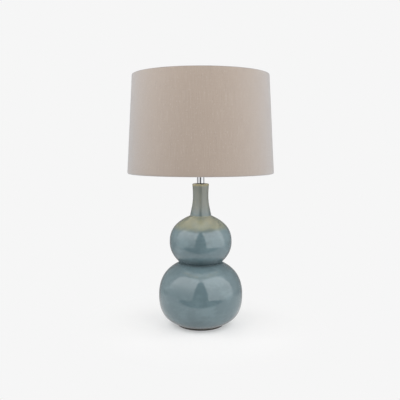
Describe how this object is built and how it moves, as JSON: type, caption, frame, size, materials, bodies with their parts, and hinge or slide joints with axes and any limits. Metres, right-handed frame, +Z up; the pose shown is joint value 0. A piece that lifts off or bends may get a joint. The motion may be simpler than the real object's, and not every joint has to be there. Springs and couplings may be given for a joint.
{
  "type": "table lamp",
  "caption": "Double gourd table lamp: glazed ceramic body, chrome neck tube, screw lampholder with push-bar switch, bulb and tapered linen drum shade.",
  "frame": {"origin": "centre of the felt pad's underside, the point the lamp stands on", "axes": "+Z up along the lamp's axis; -Y faces the viewer of the picture; +Y is the back, where the cord inlet is; +X is the viewer's right"},
  "size_m": [0.35, 0.3505, 0.6],
  "materials": {
    "glaze": "glossy blue-grey reactive glaze, olive where it breaks at the rim",
    "felt": "dark pressed felt",
    "grommet_rubber": "matt black",
    "plated_steel": "zinc plated",
    "chrome": "polished chrome",
    "holder_plastic": "white moulded thermoplastic",
    "steatite": "off-white fired ceramic",
    "brass": "bright brass",
    "switch_plastic": "white moulded thermoplastic",
    "linen": "taupe slub linen",
    "liner": "white film backing",
    "wire_enamel": "white powder coat",
    "bulb_glass": "clear glass",
    "black_glass": "black fused insulator",
    "bulb_metal": "nickel plated",
    "solder": "dull solder",
    "phosphor": "yellow coated strips"
  },
  "bodies": {
    "base": {"gourd_body": "glaze", "felt_pad": "felt", "cord_grommet": "grommet_rubber", "neck_nipple": "plated_steel", "inner_washer": "plated_steel", "nipple_nut": "plated_steel", "neck_gasket": "grommet_rubber", "neck_tube": "chrome", "holder_cap": "holder_plastic", "cap_grub_screw": "plated_steel", "holder_core": "steatite", "terminal_blocks": "brass", "terminal_screws": "plated_steel", "centre_contact": "brass", "screw_shell": "bulb_metal", "holder_skirt": "holder_plastic", "switch_pins": "brass"},
    "switch": {"switch_bar": "switch_plastic", "switch_bridge": "brass"},
    "ring": {"shade_ring": "holder_plastic"},
    "shade": {"shade_fabric": "linen", "shade_liner": "liner", "top_wire_ring": "wire_enamel", "bottom_wire_ring": "wire_enamel", "carrier_ring": "wire_enamel", "carrier_arms": "wire_enamel"},
    "bulb_rise": {"bulb_contact": "solder"},
    "bulb": {"bulb_insulator": "black_glass", "bulb_cap": "bulb_metal", "bulb_glass": "bulb_glass", "bulb_stem": "bulb_glass", "filament_strips": "phosphor", "filament_leads": "plated_steel"}
  },
  "joints": [
    {"name": "switch_push", "type": "slide", "parent": "base", "child": "switch", "axis": [-1, 0, 0], "range_m": [0, 0.006]},
    {"name": "shade_ring_turn", "type": "hinge", "parent": "base", "child": "ring", "pos_m": [0, 0, 0.411], "axis": [0, 0, 1], "range_deg": [0, 1080]},
    {"name": "shade_turn", "type": "hinge", "parent": "base", "child": "shade", "pos_m": [0, 0, 0.4065], "axis": [0, 0, 1], "continuous": true},
    {"name": "bulb_lift", "type": "slide", "parent": "base", "child": "bulb_rise", "axis": [0, 0, 1], "range_m": [0, 0.01099]},
    {"name": "bulb_turn", "type": "hinge", "parent": "bulb_rise", "child": "bulb", "pos_m": [0, 0, 0.42], "axis": [0, 0, 1], "range_deg": [0, 1080]}
  ],
  "couplings": [
    {"joint": "bulb_lift", "follows": "bulb_turn", "m_per_rad": 0.00057773}
  ]
}
